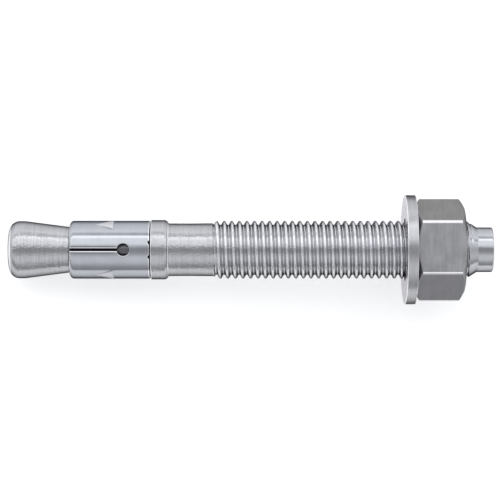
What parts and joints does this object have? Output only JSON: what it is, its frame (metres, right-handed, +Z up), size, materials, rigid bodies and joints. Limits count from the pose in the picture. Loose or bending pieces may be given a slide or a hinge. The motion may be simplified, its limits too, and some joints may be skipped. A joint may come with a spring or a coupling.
{
  "type": "wedge anchor",
  "caption": "Through-bolt wedge anchor: a coned stud with a slotted expansion clip, washer and hex nut, for fixing into drilled concrete.",
  "frame": {"origin": "on the table under the middle of the anchor's bounding box, lying on its washer's rim and its wedge end", "axes": "+Z up; +X from the wedge end towards the threaded tip, which lies about 3.9 degrees higher; the clip's first slot and one flat of the nut face up"},
  "size_m": [0.128, 0.0288, 0.029],
  "materials": {
    "bolt_steel": "bright plated, turned",
    "clip_steel": "bright, smooth",
    "washer_steel": "satin",
    "nut_steel": "satin, finely brushed"
  },
  "bodies": {
    "bolt": {"cone_bolt": "bolt_steel"},
    "clip": {"expansion_clip": "clip_steel"},
    "washer": {"washer": "washer_steel"},
    "nut": {"hex_nut": "nut_steel"}
  },
  "joints": [
    {"name": "clip_spin", "type": "hinge", "parent": "bolt", "child": "clip", "pos_m": [-0.03716, 0, 0.00918], "axis": [0.9977, 0, 0.0671], "continuous": true},
    {"name": "washer_slide", "type": "slide", "parent": "bolt", "child": "washer", "axis": [-0.9977, 0, -0.0671], "range_m": [-0.01301, 0.05201]},
    {"name": "nut_turn", "type": "hinge", "parent": "washer", "child": "nut", "pos_m": [0.04965, 0, 0.01502], "axis": [-0.9977, 0, -0.0671], "range_deg": [-2340, 9360]}
  ],
  "couplings": [
    {"joint": "washer_slide", "follows": "nut_turn", "m_per_rad": 0.00031831}
  ]
}
